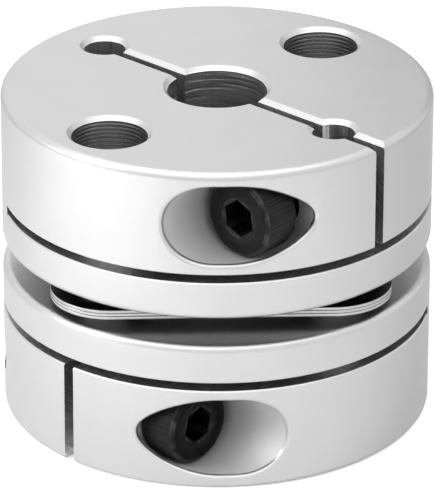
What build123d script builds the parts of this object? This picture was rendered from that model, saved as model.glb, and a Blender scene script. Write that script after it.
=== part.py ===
from build123d import *
from math import sqrt
import os

# Disc coupling: two split clamp hubs joined through a pack of thin spring discs.
# +Z is the shaft axis, and the origin is the centre of the lower hub's outer face.
# Both hubs are the same part. The upper one is turned over about a line between +X and -Y,
# so that the two slits, and the rivets that hold the discs, stand a quarter turn apart.
# All lengths are in millimetres.

# Hub
hub_diameter = 39.0
bore_diameter = 9.0
clamp_thickness = 9.7          # outer face to the saw cut
saw_cut_width = 0.75           # parts the clamp jaws from the flange
flange_thickness = 3.6         # saw cut to the face that looks at the discs
rim_round = 0.7                # rounded rims of the outer face and of the flange
hole_chamfer = 0.4             # mouths of the bore and of the holes
saw_cut_web = 9.0              # metal left between the saw cut's end and the rim
saw_cut_burr = 0.12            # broken edges along the saw cut

# Slit of the clamp
slit_width = 1.1
slit_chamfer = 0.4
slit_exit_chamfer = 0.2        # upright edges where the slit leaves the rim

# Holes along the outer face, all on one circle
hole_edge_distance = 5.5       # rim to the holes' axes
access_hole_diameter = 6.8     # a rivet's head goes down it
rivet_seat_depth = 0.6         # how far the access hole sinks into the flange
relief_hole_diameter = 3.8     # ends the slit, and clears the other hub's rivets

# Clamp screw
screw_edge_distance = 6.15     # rim to the screw's axis
screw_depth = 5.0              # outer face to screw axis
screw_diameter = 4.0
screw_length = 14.0
screw_hole_diameter = 4.5      # clearance hole through the near jaw
head_diameter = 7.2
head_height = 4.0
head_chamfer = 0.35
socket_width = 3.0             # across the flats
socket_depth = 2.2
socket_chamfer = 0.15
tip_chamfer = 0.5
seat_distance = 6.3            # slit plane to the seat under the head
pocket_clearance = 0.1         # above and below the head in its recess
pocket_run = 1.1               # straight run between the recess's rounded ends
pocket_round = 0.38
lower_socket_turn = 16.0       # how each screw's socket has come to stand, in degrees
upper_socket_turn = 38.0
upper_screw_slack = 1.6        # the upper screw is backed off by this much

# Disc pack
disc_thickness = 0.3
disc_count = 3
disc_setback = 0.1             # rim to the discs' rounded corners
disc_hole_distance = 5.5       # rivet's axis to the edge of the discs' central hole

# Rivets and their rings
rivet_diameter = 3.0
rivet_head_diameter = 6.0
rivet_head_height = 1.2
rivet_head_chamfer = 0.25
rivet_tail_diameter = 3.3      # upset end
rivet_tail_height = 0.9
spacer_diameter = 6.0
spacer_thickness = 0.85        # ring between the discs and the hub that holds them
washer_diameter = 6.0
washer_thickness = 0.55        # ring under the rivet's upset end
fit_clearance = 0.03           # all round a rivet, and round the screw's thread

hub_radius = hub_diameter / 2
hub_length = clamp_thickness + saw_cut_width + flange_thickness
pack_thickness = disc_count * disc_thickness
flange_gap = pack_thickness + 2 * spacer_thickness
coupling_length = 2 * hub_length + flange_gap
flange_start = clamp_thickness + saw_cut_width
rivet_seat = flange_start + rivet_seat_depth
hole_circle_radius = hub_radius - hole_edge_distance
screw_offset = hub_radius - screw_edge_distance
saw_cut_reach = hub_radius - saw_cut_web
pocket_height = head_diameter + 2 * pocket_clearance
pocket_length = pocket_height + pocket_run
pocket_tip_wall = sqrt(hub_radius**2 - (screw_offset + pocket_length / 2)**2) - seat_distance
disc_pad_radius = hole_edge_distance - disc_setback
disc_hole_radius = hole_circle_radius - disc_hole_distance
rivet_hole_diameter = rivet_diameter + 2 * fit_clearance
thread_hole_diameter = screw_diameter + 2 * fit_clearance
overrun = 1.0                  # how far a cutting tool runs past the metal

turned_over = Axis((0, 0, coupling_length / 2), (1, -1, 0))
tool_base = (Align.CENTER, Align.CENTER, Align.MIN)


def upper(part):
    return part.rotate(turned_over, 180)


def drill(x, y, diameter, start, end):
    return Pos(x, y, start) * Cylinder(diameter / 2, end - start, align=tool_base)


def countersink(x, y, diameter, chamfer):
    """Cone that breaks the edge of a hole in the face at z = 0."""
    mouth = diameter / 2 + chamfer + overrun
    return Pos(x, y, -overrun) * Cone(mouth, diameter / 2, chamfer + overrun, align=tool_base)


def mouth_prism(width, chamfer, length):
    """Wedge, as deep as the chamfer, along +Y from the origin and open below z = 0."""
    flare = chamfer + overrun
    corners = [(-width / 2 - flare, -overrun), (width / 2 + flare, -overrun),
               (width / 2, chamfer), (-width / 2, chamfer)]
    return extrude(Plane.XZ * make_face(Polyline(*corners, close=True)), -length)


def slit_tool():
    """The slit runs from the relief hole through the bore and out of the rim at -Y."""
    end = hub_radius + overrun
    length = end + hole_circle_radius
    blade = Pos(0, hole_circle_radius - length / 2, flange_start / 2)
    blade *= Box(slit_width, length, flange_start + 2 * overrun)
    blade -= Pos(0, 0, flange_start) * Box(4 * slit_width, 4 * hub_radius, 2 * overrun,
                                           align=tool_base)
    mouth = Pos(0, -end, 0) * mouth_prism(slit_width, slit_chamfer, length)
    exit_wedge = mouth_prism(slit_width, slit_exit_chamfer, clamp_thickness + 2 * overrun)
    exit_wedge = Pos(0, -hub_radius, -overrun) * Rot(90, 0, 0) * exit_wedge
    return blade, mouth, exit_wedge


def saw_cut_tool():
    """Straight cut across the hub, with both of its edges broken all round the rim."""
    low, high = clamp_thickness, flange_start
    inner = hub_radius - saw_cut_burr
    outer = hub_radius + overrun
    burr = saw_cut_burr + overrun
    profile = Polyline((0, low), (inner, low), (outer, low - burr), (outer, high + burr),
                       (inner, high), (0, high), close=True)
    ring = revolve(Plane.XZ * make_face(profile), Axis.Z)
    reach = Pos(0, saw_cut_reach, 0) * Box(2 * outer, 4 * outer, 4 * hub_length,
                                           align=(Align.CENTER, Align.MAX, Align.CENTER))
    return ring & reach


def screw_plane(distance):
    """Plane across the clamp screw, facing +X, at this distance from the slit's plane."""
    return Plane(origin=(distance, -screw_offset, screw_depth), x_dir=(0, 1, 0), z_dir=(1, 0, 0))


def screw_tools():
    pocket = extrude(screw_plane(seat_distance) * SlotOverall(pocket_length, pocket_height),
                     hub_radius)
    near_hole = extrude(screw_plane(0) * Circle(screw_hole_diameter / 2), hub_radius)
    far_hole = extrude(screw_plane(0) * Circle(thread_hole_diameter / 2), -hub_radius)
    return pocket, near_hole, far_hole


def round_pocket_edge(hub):
    """Rounds the pocket's edge on the rim, which is a knife edge at its outer end.
    The pocket's wall is lowest there, so the round takes no more than a fifth of it."""
    def is_on_rim(edge):
        point = edge.position_at(0.5)
        on_rim = abs(sqrt(point.X**2 + point.Y**2) - hub_radius) < 0.001
        in_pocket = abs(point.Y + screw_offset) < pocket_length / 2 + 0.001
        clear_of_rims = abs(point.Z - screw_depth) < pocket_height / 2 + 0.001
        return on_rim and in_pocket and clear_of_rims and point.X > seat_distance
    return fillet(hub.edges().filter_by(is_on_rim), min(pocket_round, pocket_tip_wall / 5))


def make_hub():
    hub = Cylinder(hub_radius, hub_length, align=tool_base)
    hub = fillet(hub.edges().filter_by(GeomType.CIRCLE), rim_round)
    pocket, near_hole, far_hole = screw_tools()
    hub -= pocket
    hub = round_pocket_edge(hub)
    tools = [near_hole, far_hole, saw_cut_tool(), *slit_tool()]
    tools += [drill(0, 0, bore_diameter, -overrun, hub_length + overrun),
              countersink(0, 0, bore_diameter, hole_chamfer),
              Pos(0, 0, hub_length) * Rot(180, 0, 0) * countersink(0, 0, bore_diameter, hole_chamfer)]
    for side in (-1, 1):
        across = side * hole_circle_radius
        tools += [drill(across, 0, access_hole_diameter, -overrun, rivet_seat),
                  countersink(across, 0, access_hole_diameter, hole_chamfer),
                  drill(across, 0, rivet_hole_diameter, 0, hub_length + overrun),
                  drill(0, across, relief_hole_diameter, -overrun, hub_length + overrun),
                  countersink(0, across, relief_hole_diameter, hole_chamfer)]
    return hub - tools


def make_screw(socket_turn):
    """Socket head cap screw, head up, with its seat at z = 0 and a plain shank below."""
    head = Cylinder(head_diameter / 2, head_height, align=tool_base)
    top_edge = head.edges().filter_by(GeomType.CIRCLE).sort_by(Axis.Z)[-1]
    head = chamfer(top_edge, head_chamfer)
    shank = Pos(0, 0, -screw_length) * Cylinder(screw_diameter / 2, screw_length, align=tool_base)
    tip_edge = shank.edges().filter_by(GeomType.CIRCLE).sort_by(Axis.Z)[0]
    shank = chamfer(tip_edge, tip_chamfer)
    hexagon = RegularPolygon(socket_width / 2, 6, major_radius=False, rotation=socket_turn)
    socket = extrude(Pos(0, 0, head_height - socket_depth) * hexagon, socket_depth + overrun)
    corner_radius = socket_width / sqrt(3)
    mouth = Pos(0, 0, head_height) * Rot(180, 0, 0)
    mouth *= countersink(0, 0, 2 * corner_radius, socket_chamfer)
    return head + shank - socket - mouth


def place_screw(screw, slack):
    return screw_plane(seat_distance + slack).location * screw


def make_disc(level):
    """Rounded square with a corner round each rivet."""
    width = hole_circle_radius * sqrt(2) + 2 * disc_pad_radius
    outline = RectangleRounded(width, width, disc_pad_radius, rotation=45)
    outline -= Circle(disc_hole_radius)
    outline -= PolarLocations(hole_circle_radius, 4) * Circle(rivet_hole_diameter / 2)
    bottom = hub_length + spacer_thickness + level * disc_thickness
    return Pos(0, 0, bottom) * extrude(outline, disc_thickness)


def make_rivet(x):
    """Revolved from its profile: head on the flange's seat, shank, upset tail."""
    washer_top = hub_length + spacer_thickness + pack_thickness + washer_thickness
    head_edge = rivet_head_diameter / 2
    profile = Polyline((0, rivet_seat - rivet_head_height),
                       (head_edge - rivet_head_chamfer, rivet_seat - rivet_head_height),
                       (head_edge, rivet_seat - rivet_head_height + rivet_head_chamfer),
                       (head_edge, rivet_seat), (rivet_diameter / 2, rivet_seat),
                       (rivet_diameter / 2, washer_top), (rivet_tail_diameter / 2, washer_top),
                       (rivet_tail_diameter / 2, washer_top + rivet_tail_height),
                       (0, washer_top + rivet_tail_height), close=True)
    return Pos(x, 0, 0) * revolve(Plane.XZ * make_face(profile), Axis.Z)


def make_ring(x, diameter, thickness, bottom):
    ring = Circle(diameter / 2) - Circle(rivet_hole_diameter / 2)
    return Pos(x, 0, bottom) * extrude(ring, thickness)


def make_fastening(x):
    """One rivet of the lower hub with the rings on both sides of the discs."""
    spacer = make_ring(x, spacer_diameter, spacer_thickness, hub_length)
    washer_bottom = hub_length + spacer_thickness + pack_thickness
    washer = make_ring(x, washer_diameter, washer_thickness, washer_bottom)
    return {"rivet": make_rivet(x), "spacer": spacer, "washer": washer}


def make_coupling():
    hub = make_hub()
    nodes = {"lower_hub": hub, "upper_hub": upper(hub),
             "lower_clamp_screw": place_screw(make_screw(lower_socket_turn), 0),
             "upper_clamp_screw": upper(place_screw(make_screw(upper_socket_turn),
                                                    upper_screw_slack))}
    for level in range(disc_count):
        nodes[f"spring_disc_{level + 1}"] = make_disc(level)
    for letter, side in (("a", -1), ("b", 1)):
        for name, piece in make_fastening(side * hole_circle_radius).items():
            nodes[f"lower_{name}_{letter}"] = piece
            nodes[f"upper_{name}_{letter}"] = upper(piece)
    return nodes


os.makedirs("parts", exist_ok=True)
for node_name, node_part in make_coupling().items():
    export_step(node_part, f"parts/{node_name}.step")
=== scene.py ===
import bpy
from math import atan2, cos, hypot, pi, radians, sin, tau
from mathutils import Matrix, Vector


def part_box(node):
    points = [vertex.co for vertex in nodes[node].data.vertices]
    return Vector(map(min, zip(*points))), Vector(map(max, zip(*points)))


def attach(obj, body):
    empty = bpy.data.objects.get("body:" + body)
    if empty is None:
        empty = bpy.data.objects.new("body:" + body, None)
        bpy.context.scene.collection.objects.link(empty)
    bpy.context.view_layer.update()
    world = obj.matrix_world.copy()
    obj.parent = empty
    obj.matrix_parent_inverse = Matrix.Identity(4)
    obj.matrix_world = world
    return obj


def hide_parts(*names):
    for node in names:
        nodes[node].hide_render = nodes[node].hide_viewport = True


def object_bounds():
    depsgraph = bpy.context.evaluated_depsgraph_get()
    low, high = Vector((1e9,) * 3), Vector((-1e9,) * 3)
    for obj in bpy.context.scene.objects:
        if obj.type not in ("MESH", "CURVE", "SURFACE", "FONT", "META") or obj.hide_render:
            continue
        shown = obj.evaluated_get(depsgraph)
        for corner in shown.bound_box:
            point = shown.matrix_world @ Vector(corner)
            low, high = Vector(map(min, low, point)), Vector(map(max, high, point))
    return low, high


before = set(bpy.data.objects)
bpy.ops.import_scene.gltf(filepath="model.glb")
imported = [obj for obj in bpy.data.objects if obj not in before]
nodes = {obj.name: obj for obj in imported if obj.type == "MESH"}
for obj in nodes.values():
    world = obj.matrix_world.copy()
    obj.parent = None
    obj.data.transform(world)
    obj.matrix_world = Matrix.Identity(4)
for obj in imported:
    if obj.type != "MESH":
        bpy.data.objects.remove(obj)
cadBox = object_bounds()
mm = 0.001
hair = 0.01 * mm       # tells one ring of points from the next
touch = 0.001 * mm     # points closer than this are one point
print("frame loaded:", len(nodes), "nodes")


# Helpers for working in edit mode

def deselectAll():
    if bpy.context.object and bpy.context.object.mode != "OBJECT":
        bpy.ops.object.mode_set(mode="OBJECT")
    for piece in list(bpy.context.selected_objects):
        piece.select_set(False)


def activate(piece):
    deselectAll()
    piece.select_set(True)
    bpy.context.view_layer.objects.active = piece


def added(name):
    piece = bpy.context.object
    piece.name = name
    piece.data.name = name
    return piece


def settle(piece):  # puts the object's place into its mesh
    activate(piece)
    bpy.ops.object.transform_apply(location=True, rotation=True, scale=True)


def pick(piece, kind, test):  # selects in edit mode what passes the test on its place
    activate(piece)
    mesh = piece.data
    bpy.context.tool_settings.mesh_select_mode = (kind == "VERT", kind == "EDGE", kind == "FACE")
    for group in (mesh.vertices, mesh.edges, mesh.polygons):
        group.foreach_set("select", [False] * len(group))
    if kind == "VERT":
        for vertex in mesh.vertices:
            vertex.select = test(vertex.co)
    elif kind == "EDGE":
        for edge in mesh.edges:
            a, b = (mesh.vertices[i].co for i in edge.vertices)
            edge.select = test((a + b) / 2, a - b)
    else:
        for face in mesh.polygons:
            face.select = test(face.center, face.normal)
    bpy.ops.object.mode_set(mode="EDIT")


def pickAll(piece):
    activate(piece)
    bpy.ops.object.mode_set(mode="EDIT")
    bpy.ops.mesh.select_all(action="SELECT")


def done():
    bpy.ops.object.mode_set(mode="OBJECT")


def apply(piece, kind, **settings):
    activate(piece)
    modifier = piece.modifiers.new(kind.title(), kind)
    for key, value in settings.items():
        setattr(modifier, key, value)
    bpy.ops.object.modifier_apply(modifier=modifier.name)


def cutWith(piece, tool):  # takes the tool's shape out of the piece
    apply(piece, "BOOLEAN", object=tool, operation="DIFFERENCE", solver="EXACT")
    bpy.data.objects.remove(tool)


def faceOutward(piece):
    pickAll(piece)
    bpy.ops.mesh.normals_make_consistent(inside=False)
    done()


def mergedCopy(node):  # a copy of a CAD node with its doubled points merged
    activate(nodes[node])
    bpy.ops.object.duplicate(linked=False)
    piece = added(node + "_detailed")
    pickAll(piece)
    bpy.ops.mesh.remove_doubles(threshold=touch)
    return piece


def raiseRings(rings):  # draws the selected ring along the axis, to the height and radius of each next ring
    height, radius = rings[0]
    for nextHeight, nextRadius in rings[1:]:
        bpy.ops.mesh.extrude_region_move(TRANSFORM_OT_translate={"value": (0, 0, nextHeight - height)})
        scale = nextRadius / radius
        bpy.ops.transform.resize(value=(scale, scale, 1), center_override=(0, 0, nextHeight))
        height, radius = nextHeight, nextRadius


# Clamp screws

screw = {
    "headDiameter": 7.2 * mm,
    "headHeight": 4.0 * mm,
    "shankLength": 14.0 * mm,
    "coreDiameter": 3.14 * mm,
    "footInset": 0.3 * mm,         # the head's lower edge, and how it rises to the knurl
    "footRise": 0.25 * mm,
    "collarInset": 0.1 * mm,
    "neckInset": 0.08 * mm,
    "knurls": 66,
    "knurlDepth": 0.07 * mm,
    "knurlStart": 0.45 * mm,
    "knurlRamp": 0.12 * mm,
    "knurlEase": 0.02 * mm,
    "rimChamfer": 0.38 * mm,
    "rimEase": 0.03 * mm,
    "rimRoll": 0.07 * mm,
    "dishDiameter": 4.9 * mm,      # shallow step round the socket
    "dishDepth": 0.06 * mm,
    "dishSlope": 0.12 * mm,
    "faceRadius": 2.2 * mm,
    "socketWidth": 3.06 * mm,
    "socketDepth": 2.2 * mm,
    "socketReach": 3.0 * mm,       # how far the cutting hexagon stands up
    "socketMouth": 0.16 * mm,      # chamfer round the socket
    "mouthSink": 0.02 * mm,
    "mouthRise": 0.5 * mm,
    "mouthSides": 96,
    "shankFlare": 0.25 * mm,       # fillet under the head
    "shankDrop": 0.2 * mm,
    "tipChamfer": 0.5 * mm,
    "tipInset": 0.35 * mm,
    "smoothAngle": 32.0,
    "lowerTurn": 16.0,             # how each socket has come to stand, in degrees
    "upperTurn": 38.0,
}

thread = {
    "pitch": 0.7 * mm,
    "diameter": 3.94 * mm,
    "rootSink": 0.02 * mm,         # the coil's foot lies this far inside the core
    "start": 0.9 * mm,             # under the head
    "end": 0.4 * mm,               # above the tip
    "cuts": 4,
    "crestBand": 0.2,              # of the pitch, to each side of the crest
    "crestWidth": 0.62,
    "flankBand": 0.4,
    "flankWidth": 1.25,
    "steps": 40,
    "tipGap": 0.35 * mm,
    "tipStretch": 0.75 * mm,       # the last turns run out smaller
    "tipCrest": 0.1 * mm,
    "tipScale": 0.88,
}


def makeScrewHead():
    s = screw
    radius, top = s["headDiameter"] / 2, s["headHeight"]
    core, dish = s["coreDiameter"] / 2, s["dishDiameter"] / 2
    foot = radius - s["footInset"]
    knurlEnd = top - s["rimChamfer"]
    sides = 3 * s["knurls"]
    bpy.ops.mesh.primitive_circle_add(vertices=sides, radius=foot, fill_type="NOTHING")
    head = added("screwHead")
    pickAll(head)
    raiseRings([(0, foot), (s["footRise"], radius - s["collarInset"]),
                (s["knurlStart"], radius - s["neckInset"]), (s["knurlStart"] + s["knurlRamp"], radius),
                (knurlEnd - s["knurlEase"], radius), (knurlEnd, radius - s["knurlEase"]),
                (top - s["rimEase"], radius - s["rimChamfer"]),
                (top, radius - s["rimChamfer"] - s["rimRoll"]),
                (top, dish + s["dishSlope"]), (top - s["dishDepth"], dish),
                (top - s["dishDepth"], s["faceRadius"])])
    bpy.ops.mesh.edge_face_add()
    pick(head, "VERT", lambda at: abs(at.z) < touch)          # the underside
    raiseRings([(0, foot), (0, core + s["shankFlare"]), (-s["shankDrop"], core),
                (-s["shankLength"] + s["tipChamfer"], core), (-s["shankLength"], core - s["tipInset"])])
    bpy.ops.mesh.edge_face_add()
    step = tau / sides

    def inGroove(at):
        onSide = s["knurlStart"] + hair < at.z < knurlEnd - hair and hypot(at.x, at.y) > radius - hair
        return onSide and round(atan2(at.y, at.x) / step) % 3 == 0
    pick(head, "VERT", inGroove)
    inward = (radius - s["knurlDepth"]) / radius
    bpy.ops.transform.resize(value=(inward, inward, 1), center_override=(0, 0, 0))
    faceOutward(head)
    return head


def makeSocketTool(turn):
    s = screw
    corner = s["socketWidth"] / 2 / cos(pi / 6)
    floor = s["headHeight"] - s["socketDepth"]
    bpy.ops.mesh.primitive_circle_add(vertices=6, radius=corner, fill_type="NGON", location=(0, 0, floor),
                                      rotation=(0, 0, radians(turn) - pi / 2))
    tool = added("socketTool")
    settle(tool)
    pickAll(tool)
    bpy.ops.mesh.extrude_region_move(TRANSFORM_OT_translate={"value": (0, 0, s["socketReach"])})
    faceOutward(tool)
    return tool


def makeMouthTool():
    s = screw
    corner = s["socketWidth"] / 2 / cos(pi / 6)
    face, mouth = s["headHeight"] - s["dishDepth"], s["socketMouth"]
    depth = mouth + s["mouthRise"] + s["mouthSink"]
    bpy.ops.mesh.primitive_cone_add(vertices=s["mouthSides"], radius1=corner - s["mouthSink"],
                                    radius2=corner + mouth + s["mouthRise"], depth=depth,
                                    location=(0, 0, face - mouth + depth / 2))
    tool = added("mouthTool")
    settle(tool)
    return tool


def makeThread():
    t = thread
    pitch, crest = t["pitch"], t["diameter"] / 2
    root = screw["coreDiameter"] / 2 - t["rootSink"]
    tip = -screw["shankLength"]
    bpy.ops.mesh.primitive_plane_add(size=pitch, location=(root - pitch / 2, 0, 0), rotation=(pi / 2, 0, 0))
    coil = added("thread")
    settle(coil)
    pick(coil, "VERT", lambda at: at.x < root - pitch / 2)
    bpy.ops.mesh.delete(type="VERT")
    pickAll(coil)
    bpy.ops.mesh.subdivide(number_cuts=t["cuts"])
    pick(coil, "VERT", lambda at: abs(at.z) < t["crestBand"] * pitch)
    bpy.ops.transform.translate(value=(crest - root, 0, 0))
    bpy.ops.transform.resize(value=(1, 1, t["crestWidth"]), center_override=(crest, 0, 0))
    pick(coil, "VERT", lambda at: t["crestBand"] * pitch < abs(at.z) < t["flankBand"] * pitch)
    bpy.ops.transform.resize(value=(1, 1, t["flankWidth"]), center_override=(root, 0, 0))
    done()
    turns = int((-tip - t["start"] - t["end"]) / pitch)
    apply(coil, "SCREW", axis="Z", screw_offset=pitch, iterations=turns, steps=t["steps"],
          render_steps=t["steps"], use_merge_vertices=True, merge_threshold=touch, use_normal_calculate=True)
    pickAll(coil)
    bpy.ops.mesh.remove_doubles(threshold=touch)
    bpy.ops.mesh.fill_holes(sides=0)
    bpy.ops.transform.translate(value=(0, 0, tip + 0.5 * pitch + t["tipGap"]))
    faceOutward(coil)
    pick(coil, "VERT", lambda at: at.z < tip + t["tipStretch"] and hypot(at.x, at.y) > root + t["tipCrest"])
    bpy.ops.transform.resize(value=(t["tipScale"], t["tipScale"], 1), center_override=(0, 0, 0))
    done()
    return coil


def makeScrew(name, node, turn, facing):
    head = makeScrewHead()
    cutWith(head, makeSocketTool(turn))
    cutWith(head, makeMouthTool())
    coil = makeThread()
    activate(head)
    coil.select_set(True)
    bpy.ops.object.join()
    head.name = name
    head.data.name = name
    low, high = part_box(node)
    centre = (low + high) / 2
    if facing == "+X":     # local x points to the hub's axis, local y up
        seat = Vector((high.x - screw["headHeight"], centre.y, centre.z))
        across, up, out = Vector((0, 1, 0)), Vector((0, 0, 1)), Vector((1, 0, 0))
    else:                  # -Y, the upper hub's screw
        seat = Vector((centre.x, low.y + screw["headHeight"], centre.z))
        across, up, out = Vector((-1, 0, 0)), Vector((0, 0, -1)), Vector((0, -1, 0))
    turnTo = Matrix((across, up, out)).transposed().to_4x4()
    head.matrix_world = Matrix.Translation(seat) @ turnTo
    settle(head)
    activate(head)
    bpy.ops.object.shade_smooth_by_angle(angle=radians(screw["smoothAngle"]))
    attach(head, "root")
    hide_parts(node)
    return head


lowerScrew = makeScrew("lower_screw_detailed", "lower_clamp_screw", screw["lowerTurn"], "+X")
upperScrew = makeScrew("upper_screw_detailed", "upper_clamp_screw", screw["upperTurn"], "-Y")
print("screws made:", len(lowerScrew.data.polygons), "faces each")


# Hubs: copies of the CAD hubs whose slit leaves the rim with a crisp edge, over a whole flange

slitEnd = {
    "radius": 19.497 * mm,
    "sides": 540,
    "jaw": (0, 9.7 * mm),              # outer face to saw cut
    "flange": (10.45 * mm, 10.95 * mm),
    "rimRound": 0.7 * mm,
    "roundSteps": 8,
    "burr": 0.12 * mm,
    "halfWidth": 1.9 * mm,             # the stretch of rim that is made new
    "inner": 18.4 * mm,
    "outer": 20.0 * mm,
    "slitHalf": 0.55 * mm,
    "mouth": 0.4 * mm,
    "cutFrom": -21.0 * mm,             # reach of the cutting blocks along the slit, and up
    "cutTo": -18.0 * mm,
    "cutTop": 11.0 * mm,
    "smoothAngle": 30.0,
    "faceWeight": 100,
}


def makeBlock(low, high):
    bpy.ops.mesh.primitive_cube_add(size=1, location=[(a + b) / 2 for a, b in zip(low, high)],
                                    scale=[b - a for a, b in zip(low, high)])
    block = added("block")
    settle(block)
    return block


def makeRimPiece(low, high, bottomEdge, topEdge):  # a short stretch of the hub's rim, round the slit's end
    e = slitEnd
    bpy.ops.mesh.primitive_cylinder_add(vertices=e["sides"], radius=e["radius"], depth=high - low,
                                        location=(0, 0, (low + high) / 2))
    piece = added("rimPiece")
    settle(piece)
    for height, (offset, segments) in ((low, bottomEdge), (high, topEdge)):
        if offset:
            pick(piece, "EDGE",
                 lambda at, along: abs(at.z - height) < touch and hypot(at.x, at.y) > e["radius"] - hair)
            bpy.ops.mesh.bevel(offset=offset, segments=segments, affect="EDGES")
            done()
    stretch = makeBlock((-e["halfWidth"], -e["outer"], low - mm), (e["halfWidth"], -e["inner"], high + mm))
    apply(piece, "BOOLEAN", object=stretch, operation="INTERSECT", solver="EXACT")
    bpy.data.objects.remove(stretch)
    return piece


def makeSlitEnds():
    e = slitEnd
    side, cutFrom, cutTo = e["slitHalf"], e["cutFrom"], e["cutTo"]
    jaw = makeRimPiece(*e["jaw"], (e["rimRound"], e["roundSteps"]), (e["burr"], 1))
    cutWith(jaw, makeBlock((-side, cutFrom, -mm), (side, cutTo, e["cutTop"])))
    mouth = makeBlock((-side, cutFrom, -e["mouth"]), (side, cutTo, e["mouth"]))
    pick(mouth, "VERT", lambda at: at.z < 0)
    flare = (side + 2 * e["mouth"]) / side
    bpy.ops.transform.resize(value=(flare, 1, 1), center_override=(0, 0, 0))
    cutWith(jaw, mouth)
    flange = makeRimPiece(*e["flange"], (e["burr"], 1), (0, 0))
    activate(jaw)
    flange.select_set(True)
    bpy.ops.object.join()
    return jaw


def makeHub(node, turned):
    piece = mergedCopy(node)
    done()
    ends = makeSlitEnds()
    if turned:     # over about the line between +X and -Y, as the upper hub is
        turnTo = Matrix(((0, -1, 0), (-1, 0, 0), (0, 0, -1))).to_4x4()
        ends.matrix_world = Matrix.Translation((0, 0, cadBox[1][2])) @ turnTo
        settle(ends)
    apply(piece, "BOOLEAN", object=ends, operation="UNION", solver="EXACT")
    bpy.data.objects.remove(ends)
    activate(piece)
    bpy.ops.mesh.customdata_custom_splitnormals_clear()
    bpy.ops.object.shade_smooth_by_angle(angle=radians(slitEnd["smoothAngle"]))
    apply(piece, "WEIGHTED_NORMAL", keep_sharp=True, weight=slitEnd["faceWeight"])
    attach(piece, "root")
    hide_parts(node)
    return piece


hubs = [makeHub("lower_hub", False), makeHub("upper_hub", True)]
print("hubs made:", [len(piece.data.polygons) for piece in hubs])


# Spring discs: copies of the CAD discs with their edges softly broken, so that each shows on its own

disc = {
    "edgeBevel": 0.06 * mm,
    "bevelSteps": 2,
    "sharpAngle": 50.0,
    "flatAngle": 1.0,
    "smoothAngle": 35.0,
}


def makeDisc(node):
    piece = mergedCopy(node)
    bpy.ops.mesh.dissolve_limited(angle_limit=radians(disc["flatAngle"]))
    done()
    apply(piece, "BEVEL", width=disc["edgeBevel"], segments=disc["bevelSteps"], limit_method="ANGLE",
          angle_limit=radians(disc["sharpAngle"]))
    activate(piece)
    bpy.ops.object.shade_smooth_by_angle(angle=radians(disc["smoothAngle"]))
    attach(piece, "root")
    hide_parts(node)
    return piece


discs = [makeDisc(name) for name in sorted(nodes) if name.startswith("spring_disc")]
print("discs made:", len(discs))


# Helpers for materials

inMillimetres = (1 / mm, 1 / mm, 1 / mm)
noiseRange = (0.3, 0.7)
cloudRange = (0.2, 0.8)


def newGroup(name, inputs, outputs):
    group = bpy.data.node_groups.new(name, "ShaderNodeTree")
    for label, kind in inputs:
        group.interface.new_socket(name=label, in_out="INPUT", socket_type=kind)
    for label, kind in outputs:
        group.interface.new_socket(name=label, in_out="OUTPUT", socket_type=kind)
    return group, group.nodes.new("NodeGroupInput").outputs, group.nodes.new("NodeGroupOutput").inputs


def put(tree, value, socket):
    if hasattr(value, "links"):
        tree.links.new(value, socket)
    else:
        socket.default_value = value


def useGroup(tree, group, **inputs):
    node = tree.nodes.new("ShaderNodeGroup")
    node.node_tree = group
    for label, value in inputs.items():
        put(tree, value, node.inputs[label])
    return node.outputs


def mathNode(tree, operation, *values):
    node = tree.nodes.new("ShaderNodeMath")
    node.operation = operation
    for number, value in enumerate(values):
        put(tree, value, node.inputs[number])
    return node.outputs[0]


def rampNode(tree, value, fromLow, fromHigh, toLow, toHigh):
    node = tree.nodes.new("ShaderNodeMapRange")
    node.interpolation_type = "SMOOTHSTEP"
    labels = ("Value", "From Min", "From Max", "To Min", "To Max")
    for label, number in zip(labels, (value, fromLow, fromHigh, toLow, toHigh)):
        put(tree, number, node.inputs[label])
    return node.outputs["Result"]


def mapNode(tree, vector, scale=(1, 1, 1), rotation=(0, 0, 0), location=(0, 0, 0)):
    node = tree.nodes.new("ShaderNodeMapping")
    put(tree, vector, node.inputs["Vector"])
    for label, value in (("Scale", scale), ("Rotation", rotation), ("Location", location)):
        node.inputs[label].default_value = value
    return node.outputs["Vector"]


def noiseNode(tree, vector, scale, detail=2.0):
    node = tree.nodes.new("ShaderNodeTexNoise")
    put(tree, mapNode(tree, vector, scale=scale), node.inputs["Vector"])
    node.inputs["Scale"].default_value = 1
    node.inputs["Detail"].default_value = detail
    return node.outputs["Fac"]


def radiusNode(tree, across, along):  # distance from an axis, from the two offsets
    squares = mathNode(tree, "MULTIPLY_ADD", across, across, mathNode(tree, "MULTIPLY", along, along))
    return mathNode(tree, "SQRT", squares)


def product(tree, *values):
    result = values[0]
    for value in values[1:]:
        result = mathNode(tree, "MULTIPLY", result, value)
    return result


def total(tree, *values):
    result = values[0]
    for value in values[1:]:
        result = mathNode(tree, "ADD", result, value)
    return result


def tintNode(tree, colour, shade):
    node = tree.nodes.new("ShaderNodeVectorMath")
    node.operation = "SCALE"
    node.inputs[0].default_value = colour
    put(tree, shade, node.inputs["Scale"])
    return node.outputs["Vector"]


def bumpNode(tree, height):  # height in millimetres
    node = tree.nodes.new("ShaderNodeBump")
    node.inputs["Distance"].default_value = mm
    put(tree, height, node.inputs["Height"])
    return node.outputs["Normal"]


def newMaterial(name):
    material = bpy.data.materials.new(name)
    material.use_nodes = True
    tree = material.node_tree
    return material, tree, tree.nodes["Principled BSDF"]


def finish(piece, material):
    piece.data.materials.clear()
    piece.data.materials.append(material)


def nearNode(tree, value, target, reach):  # 1 where the value is within reach of the target
    return mathNode(tree, "COMPARE", value, target, reach)


def belowNode(tree, value, limit):
    return mathNode(tree, "LESS_THAN", value, limit)


def aboveNode(tree, value, limit):
    return mathNode(tree, "GREATER_THAN", value, limit)


def offsetNode(tree, value, origin):
    return mathNode(tree, "SUBTRACT", value, origin)


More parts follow.
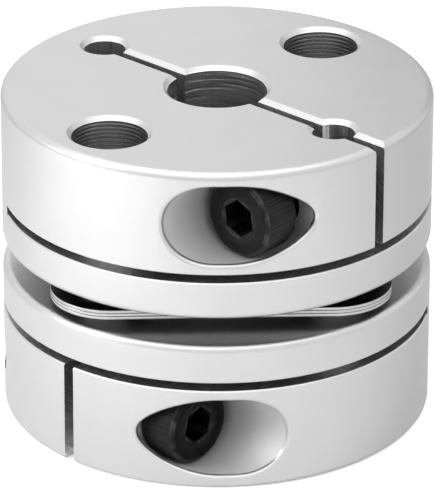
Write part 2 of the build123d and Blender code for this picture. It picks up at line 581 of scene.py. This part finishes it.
def noiseRamp(tree, noise, atLow, atHigh):  # spreads the noise's usual range over two values
    return rampNode(tree, noise, noiseRange[0], noiseRange[1], atLow, atHigh)


def cloudRamp(tree, noise, atLow, atHigh):  # the same over nearly all of its range, for slow changes
    return rampNode(tree, noise, cloudRange[0], cloudRange[1], atLow, atHigh)


def splitNode(tree, vector):
    node = tree.nodes.new("ShaderNodeSeparateXYZ")
    put(tree, vector, node.inputs[0])
    return node.outputs


def placeNode(tree, turned=False):  # place in millimetres; turned over for what belongs to the upper hub
    place = tree.nodes.new("ShaderNodeTexCoord").outputs["Object"]
    if turned:
        return mapNode(tree, place, inMillimetres, (pi, 0, -pi / 2), (0, 0, cadBox[1][2] / mm))
    return mapNode(tree, place, inMillimetres)


# Hubs: satin aluminium, with tool marks in the holes, the slit and the saw cut; painted light lifts the colour
# of the bore, relief holes, slit, saw cut and screw pocket, and painted shade lies in the tapped hole

hub = {                        # places are in millimetres, in the lower hub's frame
    "colour": (0.63, 0.63, 0.63),
    "cloudShade": (0.985, 1.015),
    "roughness": 0.34,
    "grainRough": 0.04,
    "grainHeight": 0.0022,
    "radius": 19.5,
    "boreRadius": 4.5,
    "accessRadius": 3.4,
    "reliefRadius": 1.9,
    "holeCircle": 14.0,
    "wallReach": 0.1,          # what lies this near to a hole's radius is its wall
    "slitHalf": 0.55,
    "slitReach": 0.03,
    "slitTop": 10.46,
    "sawMiddle": 10.075,
    "sawReach": 0.4,
    "sawMargin": 0.16,
    "screwAcross": -13.35,
    "screwHeight": 5.0,
    "pocketHigh": 3.75,
    "pocketLong": 4.3,
    "pocketFloor": 6.2,
    "pocketMargin": 0.42,
    "pocketRough": 0.2,
    "pocketPaintedLight": 0.08,       # painted light: lifts the milled screw pocket's colour by this much
    "pocketMetal": 0.72,
    "threadRadius": 2.03,
    "threadReach": 0.12,
    "threadEnd": -0.7,
    "threadPitch": 0.7,
    # painted shade: the tapped hole's wall at half the colour
    "threadPaintedShade": 0.5,
    "toolRough": -0.08,
}

grain = {                      # noise, in waves for each millimetre
    "fine": (11, 11, 11),
    "cloud": (0.22, 0.22, 0.22),
}

toolMark = {                   # noise for each kind, its height in millimetres, and how much it takes off the colour as tool-mark tone; below zero it adds painted light
    "bands": (0.12, 0.12, 2.6),
    "bandHeight": 0.08,
    "bandToneAndPaintedLight": (0.2, -0.5),
    "ribs": (3.2, 3.2, 0.12),
    "ribHeight": 0.04,
    "ribToneAndPaintedLight": (0.0, -0.4),
    "boreRibHeight": 0.012,
    "streaks": (0.3, 0.35, 6.0),
    "streakTurn": (0.6, 0, 0),
    "streakHeight": 0.05,
    "streakToneAndPaintedLight": (0.05, -0.45),
    "arcs": (0.25, 5.0, 0.3),
    "arcTurn": (0, 0, 0.5),
    "arcHeight": 0.04,
    "arcToneAndPaintedLight": (-0.3, -0.5),
    "ringPitch": 0.37,
    "ringWander": (0.5, 0.5, 0.8),
    "wander": 2.5,
    "ringHeight": 0.022,
    "ringShade": (0.2, -0.02),
    "coilHeight": 0.3,
}


def makeGrain():  # fine even grain, and slow change from place to place
    group, given, out = newGroup("metalGrain", [("Place", "NodeSocketVector")],
                                 [("Grain", "NodeSocketFloat"), ("Cloud", "NodeSocketFloat")])
    put(group, noiseNode(group, given["Place"], grain["fine"], 3), out["Grain"])
    put(group, noiseNode(group, given["Place"], grain["cloud"], 2), out["Cloud"])
    return group


def wave(tree, phase):  # between 0 and 1
    return mathNode(tree, "MULTIPLY_ADD", mathNode(tree, "SINE", phase), 0.5, 0.5)


def markMasks(group, place):  # where each kind of mark is
    x, y, z = splitNode(group, place)
    besideX, besideY = mathNode(group, "ABSOLUTE", x), mathNode(group, "ABSOLUTE", y)
    circle, reach = hub["holeCircle"], hub["wallReach"]
    radius = radiusNode(group, x, y)
    fromAccess = radiusNode(group, offsetNode(group, besideX, circle), y)
    fromRelief = radiusNode(group, x, offsetNode(group, besideY, circle))
    fromScrew = radiusNode(group, offsetNode(group, y, hub["screwAcross"]),
                           offsetNode(group, z, hub["screwHeight"]))
    slit = product(group, nearNode(group, besideX, hub["slitHalf"], hub["slitReach"]),
                   belowNode(group, z, hub["slitTop"]), belowNode(group, y, circle))
    saw = product(group, nearNode(group, z, hub["sawMiddle"], hub["sawReach"]),
                  belowNode(group, radius, hub["radius"] - hub["sawMargin"]))
    pocket = product(group, nearNode(group, z, hub["screwHeight"], hub["pocketHigh"]),
                     nearNode(group, y, hub["screwAcross"], hub["pocketLong"]),
                     aboveNode(group, x, hub["pocketFloor"]),
                     belowNode(group, radius, hub["radius"] - hub["pocketMargin"]))
    thread = product(group, nearNode(group, fromScrew, hub["threadRadius"], hub["threadReach"]),
                     belowNode(group, x, hub["threadEnd"]))
    return {"bore": nearNode(group, radius, hub["boreRadius"], reach),
            "access": nearNode(group, fromAccess, hub["accessRadius"], reach),
            "relief": nearNode(group, fromRelief, hub["reliefRadius"], reach),
            "slit": slit, "saw": saw, "pocket": pocket, "thread": thread}


def makeHubMarks():
    outputs = [(label, "NodeSocketFloat") for label in ("Shade", "Rough", "Metal", "Height")]
    group, given, out = newGroup("hubMarks", [("Place", "NodeSocketVector")], outputs)
    place = given["Place"]
    t = toolMark
    at = markMasks(group, place)
    x, _, z = splitNode(group, place)
    bands = noiseNode(group, place, t["bands"], 3)
    ribs = noiseNode(group, place, t["ribs"], 2)
    streaks = noiseNode(group, mapNode(group, place, rotation=t["streakTurn"]), t["streaks"], 3)
    arcs = noiseNode(group, mapNode(group, place, rotation=t["arcTurn"]), t["arcs"], 2)
    wander = product(group, noiseNode(group, place, t["ringWander"]), t["wander"])
    rings = wave(group, mathNode(group, "MULTIPLY_ADD", z, tau / t["ringPitch"], wander))
    coil = wave(group, product(group, x, tau / hub["threadPitch"]))
    put(group, total(group, product(group, at["bore"], bands, t["bandHeight"]),
                     product(group, at["bore"], ribs, t["boreRibHeight"]),
                     product(group, at["access"], rings, t["ringHeight"]),
                     product(group, at["relief"], ribs, t["ribHeight"]),
                     product(group, at["slit"], streaks, t["streakHeight"]),
                     product(group, at["saw"], arcs, t["arcHeight"]),
                     product(group, at["thread"], coil, t["coilHeight"])), out["Height"])
    # the colour's change: tool-mark tone, painted light lifting the bore, relief-hole, slit, saw-cut and pocket
    # walls, and painted shade in the tapped hole
    markToneAndPaintedLight = total(group, product(group, at["bore"], noiseRamp(group, bands, *t["bandToneAndPaintedLight"])),
                 product(group, at["access"], rampNode(group, rings, 0, 1, *t["ringShade"])),
                 product(group, at["relief"], noiseRamp(group, ribs, *t["ribToneAndPaintedLight"])),
                 product(group, at["slit"], noiseRamp(group, streaks, *t["streakToneAndPaintedLight"])),
                 product(group, at["saw"], noiseRamp(group, arcs, *t["arcToneAndPaintedLight"])),
                 product(group, at["thread"], hub["threadPaintedShade"]),
                 product(group, at["pocket"], -hub["pocketPaintedLight"]))
    put(group, mathNode(group, "SUBTRACT", 1.0, markToneAndPaintedLight), out["Shade"])
    tooled = total(group, at["bore"], at["access"], at["relief"], at["slit"], at["saw"])
    put(group, total(group, product(group, tooled, hub["toolRough"]),
                     product(group, at["pocket"], hub["pocketRough"])), out["Rough"])
    put(group, mathNode(group, "MULTIPLY_ADD", at["pocket"], hub["pocketMetal"] - 1, 1.0), out["Metal"])
    return group


grainGroup = makeGrain()
hubMarks = makeHubMarks()


def makeAluminium(name, turned):
    material, tree, shader = newMaterial(name)
    place = placeNode(tree, turned)
    marks = useGroup(tree, hubMarks, Place=place)
    grainOut = useGroup(tree, grainGroup, Place=place)
    shade = product(tree, marks["Shade"], cloudRamp(tree, grainOut["Cloud"], *hub["cloudShade"]))
    put(tree, tintNode(tree, hub["colour"], shade), shader.inputs["Base Color"])
    put(tree, marks["Metal"], shader.inputs["Metallic"])
    rough = mathNode(tree, "MULTIPLY_ADD", grainOut["Grain"], hub["grainRough"], hub["roughness"])
    put(tree, total(tree, rough, marks["Rough"]), shader.inputs["Roughness"])
    height = mathNode(tree, "MULTIPLY_ADD", grainOut["Grain"], hub["grainHeight"], marks["Height"])
    put(tree, bumpNode(tree, height), shader.inputs["Normal"])
    return material


# Screws: black oxide, lighter round the socket, worn a little on the edges with a painted glint there, with
# painted shade inside the socket and painted light on the knurling

blackOxide = {                 # places are in millimetres, in the lower hub's frame
    "colour": (0.006, 0.006, 0.0063),
    "roughness": 0.31,
    "grainRough": 0.1,
    "grainHeight": 0.006,
    "lowerSpecular": 0.04,
    "upperSpecular": 0.09,
    "lowerTop": 10.3,          # the head's face, from the slit's plane
    "upperTop": 11.9,
    "ring": (2.2, 2.45),       # the lighter ring round the socket fades out over this
    "ringShade": 1.7,
    "patches": (1.6, 1.6, 1.6),
    "patchRange": (0.35, 0.75),
    "patchShade": (0.7, 1.5),
    "socketRadius": 1.62,
    "socketTop": 0.35,         # below the face
    # painted shade: the socket's inside kept to a twentieth of the colour
    "socketPaintedShade": -0.95,
    "socketRough": 0.5,
    "wearAndGlint": (0.55, 0.55, 0.55),
    "wearAndGlintRange": (0.42, 0.62),
    "wearAndGlintShade": (0.1, 1),
    "rimInner": 3.24,          # worn rim with a painted glint: inner radius, height below the face and added shade
    "rimDeep": 0.40,
    "rimWearAndGlint": 5.5,
    "mouthMiddle": 1.725,      # worn mouth of the socket, with a painted glint
    "mouthReach": 0.225,
    "mouthTop": 0.07,
    "mouthDeep": 0.24,
    "mouthWearAndGlint": 4.5,
    # painted light on the knurling: inner radius, top below the face and added shade
    "knurlInner": 3.4,
    "knurlTop": 0.24,
    "knurlPaintedLight": 1.8,
}


def makeBlack(name, turned):
    b = blackOxide
    material, tree, shader = newMaterial(name)
    place = placeNode(tree, turned)
    x, y, z = splitNode(tree, place)
    radius = radiusNode(tree, offsetNode(tree, y, hub["screwAcross"]), offsetNode(tree, z, hub["screwHeight"]))
    grainOut = useGroup(tree, grainGroup, Place=place)
    side = "upper" if turned else "lower"
    top = b[side + "Top"]
    ring = rampNode(tree, radius, *b["ring"], b["ringShade"], 1)
    patches = rampNode(tree, noiseNode(tree, place, b["patches"], 4), *b["patchRange"], *b["patchShade"])
    # wear with a painted glint on the rim and the socket's mouth, in patches
    wearAndGlint = rampNode(tree, noiseNode(tree, place, b["wearAndGlint"], 3), *b["wearAndGlintRange"], *b["wearAndGlintShade"])
    # where the painted shade inside the socket goes
    socket = product(tree, belowNode(tree, radius, b["socketRadius"]), belowNode(tree, x, top - b["socketTop"]))
    rim = product(tree, aboveNode(tree, radius, b["rimInner"]), aboveNode(tree, x, top - b["rimDeep"]),
                  b["rimWearAndGlint"])
    mouth = product(tree, nearNode(tree, radius, b["mouthMiddle"], b["mouthReach"]),
                    belowNode(tree, x, top - b["mouthTop"]), aboveNode(tree, x, top - b["mouthDeep"]),
                    b["mouthWearAndGlint"])
    # painted light on the knurling
    paintedKnurlLight = product(tree, aboveNode(tree, radius, b["knurlInner"]), belowNode(tree, x, top - b["knurlTop"]),
                      b["knurlPaintedLight"])
    shade = product(tree, ring, patches, mathNode(tree, "MULTIPLY_ADD", socket, b["socketPaintedShade"], 1.0))
    shade = total(tree, shade, product(tree, wearAndGlint, total(tree, rim, mouth)), paintedKnurlLight)
    put(tree, tintNode(tree, b["colour"], shade), shader.inputs["Base Color"])
    rough = mathNode(tree, "MULTIPLY_ADD", grainOut["Grain"], b["grainRough"], b["roughness"])
    put(tree, mathNode(tree, "MULTIPLY_ADD", socket, b["socketRough"], rough), shader.inputs["Roughness"])
    shader.inputs["Specular IOR Level"].default_value = b[side + "Specular"]
    put(tree, bumpNode(tree, product(tree, grainOut["Grain"], b["grainHeight"])), shader.inputs["Normal"])
    return material


# Discs: cold-rolled spring steel, bright cut edges, and painted shade on the level faces for the flange they
# reflect

springSteel = {
    "colour": (0.54, 0.54, 0.54),
    "flatRange": (0.5, 0.9),   # how level a surface is to count as a face
    "facePaintedShade": 0.15,
    "rolled": (0.4, 9, 3),
    "rolledShade": (0.9, 1.06),
    "rolledRough": 0.12,
    "rolledHeight": 0.003,
    "roughness": 0.18,
    "grainHeight": 0.002,
}


def makeSpringSteel():
    steel = springSteel
    material, tree, shader = newMaterial("springSteel")
    place = placeNode(tree)
    normal = tree.nodes.new("ShaderNodeTexCoord").outputs["Normal"]
    level = mathNode(tree, "ABSOLUTE", splitNode(tree, normal)[2])
    flat = rampNode(tree, level, *steel["flatRange"], 0, 1)
    grainOut = useGroup(tree, grainGroup, Place=place)
    rolled = noiseNode(tree, place, steel["rolled"], 3)
    # painted shade: the level faces kept to this share of the colour
    shade = product(tree, rampNode(tree, flat, 0, 1, 1, steel["facePaintedShade"]),
                    cloudRamp(tree, rolled, *steel["rolledShade"]))
    put(tree, tintNode(tree, steel["colour"], shade), shader.inputs["Base Color"])
    shader.inputs["Metallic"].default_value = 1
    rough = mathNode(tree, "MULTIPLY_ADD", rolled, steel["rolledRough"], steel["roughness"])
    put(tree, rough, shader.inputs["Roughness"])
    height = mathNode(tree, "MULTIPLY_ADD", rolled, steel["rolledHeight"],
                      product(tree, grainOut["Grain"], steel["grainHeight"]))
    put(tree, bumpNode(tree, height), shader.inputs["Normal"])
    return material


# Rivets, spacers and washers: bright turned steel

turnedSteel = {
    "rivetColour": (0.60, 0.595, 0.585),
    "rivetRoughness": 0.21,
    "ringColour": (0.52, 0.52, 0.525),
    "ringRoughness": 0.27,
    "grainRough": 0.1,
    "grainHeight": 0.003,
    "turning": (0.3, 0.3, 7),
    "turningShade": (0.86, 1.05),
    "turningHeight": 0.008,
}


def makeTurnedSteel(kind):
    steel = turnedSteel
    material, tree, shader = newMaterial(kind + "Steel")
    place = placeNode(tree)
    grainOut = useGroup(tree, grainGroup, Place=place)
    turning = noiseNode(tree, place, steel["turning"], 2)
    shade = cloudRamp(tree, turning, *steel["turningShade"])
    put(tree, tintNode(tree, steel[kind + "Colour"], shade), shader.inputs["Base Color"])
    shader.inputs["Metallic"].default_value = 1
    rough = mathNode(tree, "MULTIPLY_ADD", grainOut["Grain"], steel["grainRough"], steel[kind + "Roughness"])
    put(tree, rough, shader.inputs["Roughness"])
    height = mathNode(tree, "MULTIPLY_ADD", turning, steel["turningHeight"],
                      product(tree, grainOut["Grain"], steel["grainHeight"]))
    put(tree, bumpNode(tree, height), shader.inputs["Normal"])
    return material


lowerAluminium, upperAluminium = makeAluminium("lowerAluminium", False), makeAluminium("upperAluminium", True)
lowerBlack, upperBlack = makeBlack("lowerBlackOxide", False), makeBlack("upperBlackOxide", True)
discMaterial = makeSpringSteel()
rivetMaterial, ringMaterial = makeTurnedSteel("rivet"), makeTurnedSteel("ring")


def materialFor(name):
    isUpper = name.startswith("upper")
    if "hub" in name:
        return upperAluminium if isUpper else lowerAluminium
    if "screw" in name:
        return upperBlack if isUpper else lowerBlack
    if "disc" in name:
        return discMaterial
    return rivetMaterial if "rivet" in name else ringMaterial


for piece in (*nodes.values(), lowerScrew, upperScrew, *hubs, *discs):
    finish(piece, materialFor(piece.name))
print("materials assigned")


# Floor, card, lights and camera

view = {
    "azimuth": 42.6,         # the camera stands this far round from -Y towards +X
    "elevation": 24.91,
    "distance": 477.75 * mm,
    "lens": 380.9,
    "sensor": 36,
    "clip": (0.01, 20),
    "aimDrop": 0.66 * mm,    # it looks a little below the coupling's middle
    "aimRight": 0.075 * mm,
    "roll": 0.17,
}

floorSheet = {
    "colour": (0.62, 0.62, 0.62),
    "size": 6,
    "drop": 0.02 * mm,         # keeps it clear of the coupling's underside
    "fibre": (900, 900, 900),
    "fibreShade": (0.985, 1.0),
    "specular": 0.1,
    "glow": 0.55,              # seen straight, the floor is white paper
    "sheen": 0.14,             # and this much of it in reflections
}

greyCard = {                   # stands behind the right side, and only reflections see it
    "colour": (0.74, 0.74, 0.74),
    "reach": (0.014, 0.12),
    "back": 0.12,
    "height": 0.11,
    "fibre": (60, 60, 60),
    "fibreShade": (0.95, 1.0),
    "specular": 0.5,
}

paperRoughness = 0.9
skyLight = 0.5

lamps = {                      # the pools look straight down and only light the floor
    "key": {"place": (-0.12, -0.21, 0.12), "target": (0, 0, 0.01), "size": (0.12, 0.1),
            "power": 0.12, "reflected": True},
    "pool": {"place": (-0.035, -0.13, 0.10), "target": (-0.035, -0.13, 0), "size": (0.09, 0.09),
             "power": 0.285, "reflected": False},
    "sidePool": {"place": (0.125, -0.03, 0.10), "target": (0.125, -0.03, 0), "size": (0.09, 0.09),
                 "power": 0.10, "reflected": False},
    "softbox": {"place": (-0.02, -0.12, 0.8), "target": (0, 0, 0), "size": (1.2, 1.2),
                "power": 3.7, "reflected": True},
}


def makePaper(name, settings):
    material, tree, shader = newMaterial(name)
    place = tree.nodes.new("ShaderNodeTexCoord").outputs["Object"]
    fibre = cloudRamp(tree, noiseNode(tree, place, settings["fibre"], 2), *settings["fibreShade"])
    put(tree, tintNode(tree, settings["colour"], fibre), shader.inputs["Base Color"])
    shader.inputs["Roughness"].default_value = paperRoughness
    shader.inputs["Specular IOR Level"].default_value = settings["specular"]
    return material, tree, shader


def makeFloor():
    bpy.ops.mesh.primitive_plane_add(size=floorSheet["size"], location=(0, 0, -floorSheet["drop"]))
    floor = added("floor")
    settle(floor)
    material, tree, shader = makePaper("floorPaper", floorSheet)
    path = tree.nodes.new("ShaderNodeLightPath").outputs
    sheen = product(tree, path["Is Glossy Ray"], floorSheet["sheen"])
    strength = mathNode(tree, "MULTIPLY_ADD", path["Is Camera Ray"], floorSheet["glow"], sheen)
    shader.inputs["Emission Color"].default_value = (1, 1, 1, 1)
    put(tree, strength, shader.inputs["Emission Strength"])
    finish(floor, material)


def makeCard():
    azimuth = radians(view["azimuth"])
    back, right = Vector((-sin(azimuth), cos(azimuth), 0)), Vector((cos(azimuth), sin(azimuth), 0))
    (inner, outer), height = greyCard["reach"], greyCard["height"]
    place = back * greyCard["back"] + right * (inner + outer) / 2 + Vector((0, 0, height / 2))
    bpy.ops.mesh.primitive_plane_add(size=1, location=place, rotation=(pi / 2, 0, azimuth))
    card = added("greyCard")
    card.scale = (outer - inner, height, 1)
    settle(card)
    finish(card, makePaper("cardPaper", greyCard)[0])
    card.visible_camera = False
    card.visible_shadow = False
    card.visible_diffuse = False


def makeWorld():
    world = bpy.data.worlds.new("studioWorld")
    bpy.context.scene.world = world
    world.use_nodes = True
    tree = world.node_tree
    background = tree.nodes["Background"].inputs
    background["Color"].default_value = (1, 1, 1, 1)
    path = tree.nodes.new("ShaderNodeLightPath").outputs
    seen = mathNode(tree, "MAXIMUM", path["Is Camera Ray"], path["Is Glossy Ray"])
    seen = mathNode(tree, "MAXIMUM", seen, path["Is Transmission Ray"])
    put(tree, rampNode(tree, seen, 0, 1, skyLight, 1.0), background["Strength"])


def makeLamp(name, settings):
    lamp = bpy.data.lights.new(name + "Lamp", "AREA")
    lamp.shape = "RECTANGLE"
    lamp.size, lamp.size_y = settings["size"]
    lamp.energy = settings["power"]
    holder = bpy.data.objects.new(name + "Lamp", lamp)
    holder.visible_glossy = settings["reflected"]
    bpy.context.scene.collection.objects.link(holder)
    holder.location = settings["place"]
    aim = Vector(settings["target"]) - holder.location
    holder.rotation_euler = aim.to_track_quat("-Z", "Y").to_euler()


def makeCamera():
    low, high = cadBox
    middle = Vector((0, 0, (low[2] + high[2]) / 2))
    azimuth, elevation = radians(view["azimuth"]), radians(view["elevation"])
    toCamera = Vector((sin(azimuth) * cos(elevation), -cos(azimuth) * cos(elevation), sin(elevation)))
    right = Vector((cos(azimuth), sin(azimuth), 0))
    aim = middle + right * view["aimRight"] - Vector((0, 0, view["aimDrop"]))
    camera = bpy.data.cameras.new("camera")
    camera.lens = view["lens"]
    camera.sensor_width = view["sensor"]
    camera.clip_start, camera.clip_end = view["clip"]
    holder = bpy.data.objects.new("camera", camera)
    bpy.context.scene.collection.objects.link(holder)
    holder.location = middle + toCamera * view["distance"]
    roll = Matrix.Rotation(radians(view["roll"]), 4, "Z").to_quaternion()
    holder.rotation_euler = ((aim - holder.location).to_track_quat("-Z", "Y") @ roll).to_euler()
    bpy.context.scene.camera = holder


makeFloor()
makeCard()
makeWorld()
for lampName, lampSettings in lamps.items():
    makeLamp(lampName, lampSettings)
makeCamera()
bpy.context.scene.view_settings.view_transform = "Standard"
print("studio ready")
